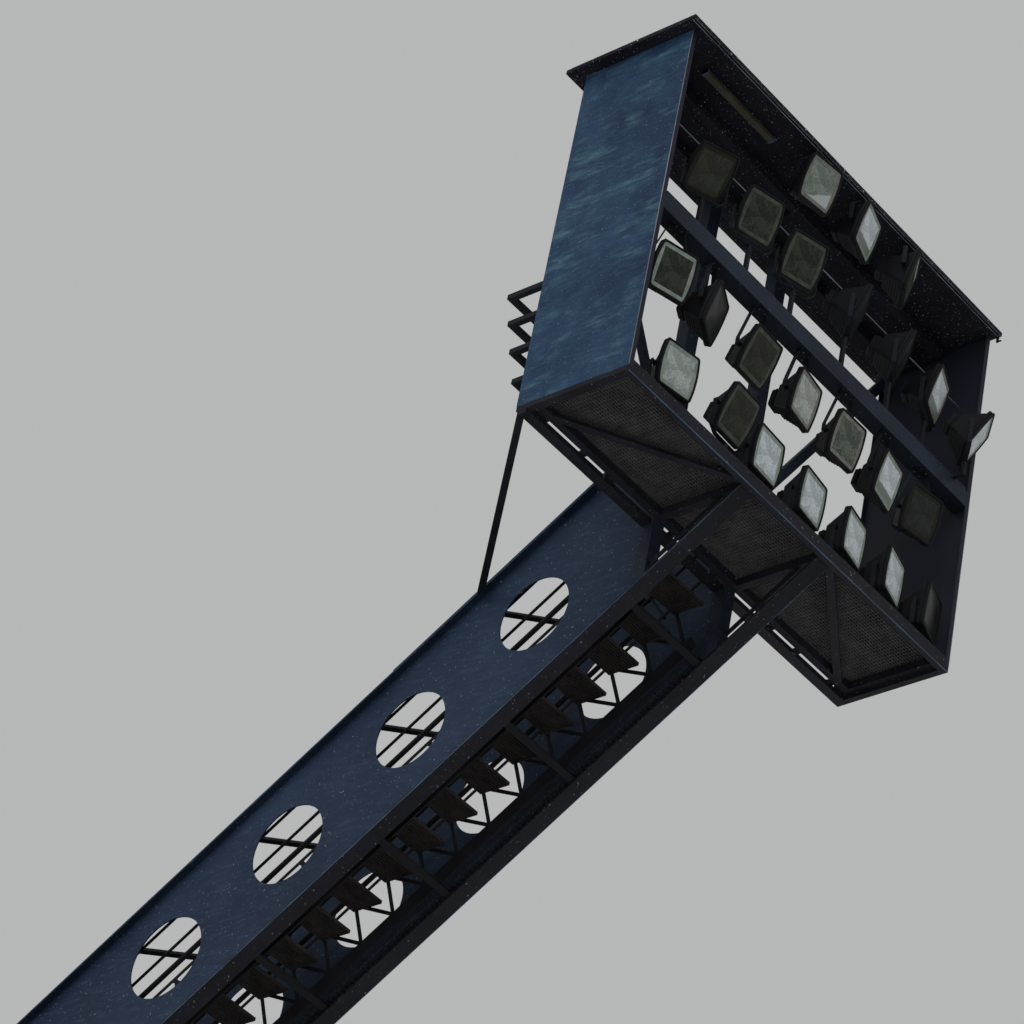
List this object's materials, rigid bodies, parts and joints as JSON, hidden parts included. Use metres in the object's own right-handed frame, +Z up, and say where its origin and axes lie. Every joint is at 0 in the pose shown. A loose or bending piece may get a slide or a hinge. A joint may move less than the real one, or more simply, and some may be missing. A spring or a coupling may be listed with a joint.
{
  "type": "stadium floodlight pylon",
  "caption": "Leaning twin-girder floodlight mast with a stair inside and a box-shaped head of tilting lamps under a flat roof.",
  "frame": {"origin": "underside of the base plate, midway between the two girders", "axes": "+Z up, +X across the lamp head, and the mast rises towards -Y, the way the lamps face"},
  "size_m": [4.645, 11.291, 9.4892],
  "materials": {
    "blue_paint": "satin",
    "panel_paint": "satin",
    "roof_paint": "matte",
    "dark_steel": "satin",
    "grating_steel": "matte",
    "galvanised": "satin",
    "lamp_housing": "matte",
    "box_plastic": "matte",
    "batten_plastic": "matte"
  },
  "bodies": {
    "pylon": {"left_girder_web": "blue_paint", "left_front_flange": "blue_paint", "left_back_flange": "blue_paint", "left_stair_truss": "dark_steel", "left_handrail": "dark_steel", "left_side_panel": "panel_paint", "right_girder_web": "blue_paint", "right_front_flange": "blue_paint", "right_back_flange": "blue_paint", "right_stair_truss": "dark_steel", "right_handrail": "dark_steel", "right_side_panel": "panel_paint", "back_bracing": "blue_paint", "cross_beams": "blue_paint", "upper_treads": "grating_steel", "lower_treads": "grating_steel", "cable_tray": "galvanised", "conduit": "galvanised", "junction_boxes": "box_plastic", "base_plate": "blue_paint", "base_gussets": "blue_paint", "roof_sheet": "roof_paint", "roof_frame": "dark_steel", "floor_frame": "blue_paint", "floor_grating": "grating_steel", "mid_lamp_beam": "blue_paint", "rear_posts": "blue_paint", "rear_braces": "blue_paint", "outrigger_struts": "blue_paint", "rear_guard": "dark_steel", "strip_light": "batten_plastic", "top_stirrups": "dark_steel", "upper_stirrups": "dark_steel", "lower_stirrups": "dark_steel", "bottom_stirrups": "dark_steel"},
    "top_lamp_1": {"top_lamp_1": "lamp_housing"},
    "top_lamp_2": {"top_lamp_2": "lamp_housing"},
    "top_lamp_3": {"top_lamp_3": "lamp_housing"},
    "upper_lamp_1": {"upper_lamp_1": "lamp_housing"},
    "upper_lamp_2": {"upper_lamp_2": "lamp_housing"},
    "upper_lamp_3": {"upper_lamp_3": "lamp_housing"},
    "upper_lamp_4": {"upper_lamp_4": "lamp_housing"},
    "upper_lamp_5": {"upper_lamp_5": "lamp_housing"},
    "upper_lamp_6": {"upper_lamp_6": "lamp_housing"},
    "upper_lamp_7": {"upper_lamp_7": "lamp_housing"},
    "lower_lamp_1": {"lower_lamp_1": "lamp_housing"},
    "lower_lamp_2": {"lower_lamp_2": "lamp_housing"},
    "lower_lamp_3": {"lower_lamp_3": "lamp_housing"},
    "lower_lamp_4": {"lower_lamp_4": "lamp_housing"},
    "lower_lamp_5": {"lower_lamp_5": "lamp_housing"},
    "lower_lamp_6": {"lower_lamp_6": "lamp_housing"},
    "lower_lamp_7": {"lower_lamp_7": "lamp_housing"},
    "bottom_lamp_1": {"bottom_lamp_1": "lamp_housing"},
    "bottom_lamp_2": {"bottom_lamp_2": "lamp_housing"},
    "bottom_lamp_3": {"bottom_lamp_3": "lamp_housing"},
    "bottom_lamp_4": {"bottom_lamp_4": "lamp_housing"},
    "bottom_lamp_5": {"bottom_lamp_5": "lamp_housing"},
    "bottom_lamp_6": {"bottom_lamp_6": "lamp_housing"},
    "bottom_lamp_7": {"bottom_lamp_7": "lamp_housing"}
  },
  "joints": [
    {"name": "top_lamp_1_tilt", "type": "hinge", "parent": "pylon", "child": "top_lamp_1", "pos_m": [-0.43, -9.53062, 9.13724], "axis": [0.9925, -0.1219, 0], "range_deg": [-15, 15]},
    {"name": "top_lamp_2_tilt", "type": "hinge", "parent": "pylon", "child": "top_lamp_2", "pos_m": [0.24, -9.53062, 9.13724], "axis": [0.9455, 0.3256, 0], "range_deg": [-15, 15]},
    {"name": "top_lamp_3_tilt", "type": "hinge", "parent": "pylon", "child": "top_lamp_3", "pos_m": [0.9, -9.53062, 9.13724], "axis": [0.7431, 0.6691, 0], "range_deg": [-15, 15]},
    {"name": "upper_lamp_1_tilt", "type": "hinge", "parent": "pylon", "child": "upper_lamp_1", "pos_m": [-1.69, -9.46062, 8.31224], "axis": [0.9272, -0.3746, 0], "range_deg": [-15, 15]},
    {"name": "upper_lamp_2_tilt", "type": "hinge", "parent": "pylon", "child": "upper_lamp_2", "pos_m": [-1.02, -9.46062, 8.31224], "axis": [0.9659, -0.2588, 0], "range_deg": [-15, 15]},
    {"name": "upper_lamp_3_tilt", "type": "hinge", "parent": "pylon", "child": "upper_lamp_3", "pos_m": [-0.39, -9.46062, 8.31224], "axis": [0.9613, -0.2756, 0], "range_deg": [-15, 15]},
    {"name": "upper_lamp_4_tilt", "type": "hinge", "parent": "pylon", "child": "upper_lamp_4", "pos_m": [0.365, -9.46062, 8.36224], "axis": [0.7071, 0.7071, 0], "range_deg": [-15, 15]},
    {"name": "upper_lamp_5_tilt", "type": "hinge", "parent": "pylon", "child": "upper_lamp_5", "pos_m": [1.03, -9.46062, 8.35224], "axis": [0.7193, 0.6947, 0], "range_deg": [-15, 15]},
    {"name": "upper_lamp_6_tilt", "type": "hinge", "parent": "pylon", "child": "upper_lamp_6", "pos_m": [1.575, -9.46062, 8.31224], "axis": [0.9135, 0.4067, 0], "range_deg": [-15, 15]},
    {"name": "upper_lamp_7_tilt", "type": "hinge", "parent": "pylon", "child": "upper_lamp_7", "pos_m": [1.985, -9.64062, 8.08224], "axis": [0.7193, 0.6947, 0], "range_deg": [-15, 15]},
    {"name": "lower_lamp_1_tilt", "type": "hinge", "parent": "pylon", "child": "lower_lamp_1", "pos_m": [-1.93, -9.46062, 6.97224], "axis": [0.9613, -0.2756, 0], "range_deg": [-15, 15]},
    {"name": "lower_lamp_2_tilt", "type": "hinge", "parent": "pylon", "child": "lower_lamp_2", "pos_m": [-1.415, -9.46062, 6.97224], "axis": [0.8829, 0.4695, 0], "range_deg": [-15, 15]},
    {"name": "lower_lamp_3_tilt", "type": "hinge", "parent": "pylon", "child": "lower_lamp_3", "pos_m": [-0.765, -9.46062, 6.97224], "axis": [0.9986, 0.0523, 0], "range_deg": [-15, 15]},
    {"name": "lower_lamp_4_tilt", "type": "hinge", "parent": "pylon", "child": "lower_lamp_4", "pos_m": [-0.135, -9.46062, 6.97224], "axis": [0.9848, 0.1736, 0], "range_deg": [-15, 15]},
    {"name": "lower_lamp_5_tilt", "type": "hinge", "parent": "pylon", "child": "lower_lamp_5", "pos_m": [0.485, -9.46062, 6.97224], "axis": [1, 0, 0], "range_deg": [-15, 15]},
    {"name": "lower_lamp_6_tilt", "type": "hinge", "parent": "pylon", "child": "lower_lamp_6", "pos_m": [1.075, -9.46062, 6.97224], "axis": [0.9744, 0.225, 0], "range_deg": [-15, 15]},
    {"name": "lower_lamp_7_tilt", "type": "hinge", "parent": "pylon", "child": "lower_lamp_7", "pos_m": [1.62, -9.46062, 6.97224], "axis": [0.9848, -0.1736, 0], "range_deg": [-15, 15]},
    {"name": "bottom_lamp_1_tilt", "type": "hinge", "parent": "pylon", "child": "bottom_lamp_1", "pos_m": [-1.62, -9.40562, 6.16724], "axis": [0.9877, -0.1564, 0], "range_deg": [-15, 15]},
    {"name": "bottom_lamp_2_tilt", "type": "hinge", "parent": "pylon", "child": "bottom_lamp_2", "pos_m": [-0.875, -9.43562, 6.27724], "axis": [0.9986, 0.0523, 0], "range_deg": [-15, 15]},
    {"name": "bottom_lamp_3_tilt", "type": "hinge", "parent": "pylon", "child": "bottom_lamp_3", "pos_m": [-0.415, -9.40562, 6.16724], "axis": [0.9976, 0.0698, 0], "range_deg": [-15, 15]},
    {"name": "bottom_lamp_4_tilt", "type": "hinge", "parent": "pylon", "child": "bottom_lamp_4", "pos_m": [0.205, -9.40562, 6.16724], "axis": [0.9903, 0.1392, 0], "range_deg": [-15, 15]},
    {"name": "bottom_lamp_5_tilt", "type": "hinge", "parent": "pylon", "child": "bottom_lamp_5", "pos_m": [0.81, -9.40562, 6.16724], "axis": [0.9781, 0.2079, 0], "range_deg": [-15, 15]},
    {"name": "bottom_lamp_6_tilt", "type": "hinge", "parent": "pylon", "child": "bottom_lamp_6", "pos_m": [1.39, -9.40562, 6.16724], "axis": [0.9613, 0.2756, 0], "range_deg": [-15, 15]},
    {"name": "bottom_lamp_7_tilt", "type": "hinge", "parent": "pylon", "child": "bottom_lamp_7", "pos_m": [1.95, -9.40562, 6.16724], "axis": [0.9397, 0.342, 0], "range_deg": [-15, 15]}
  ]
}
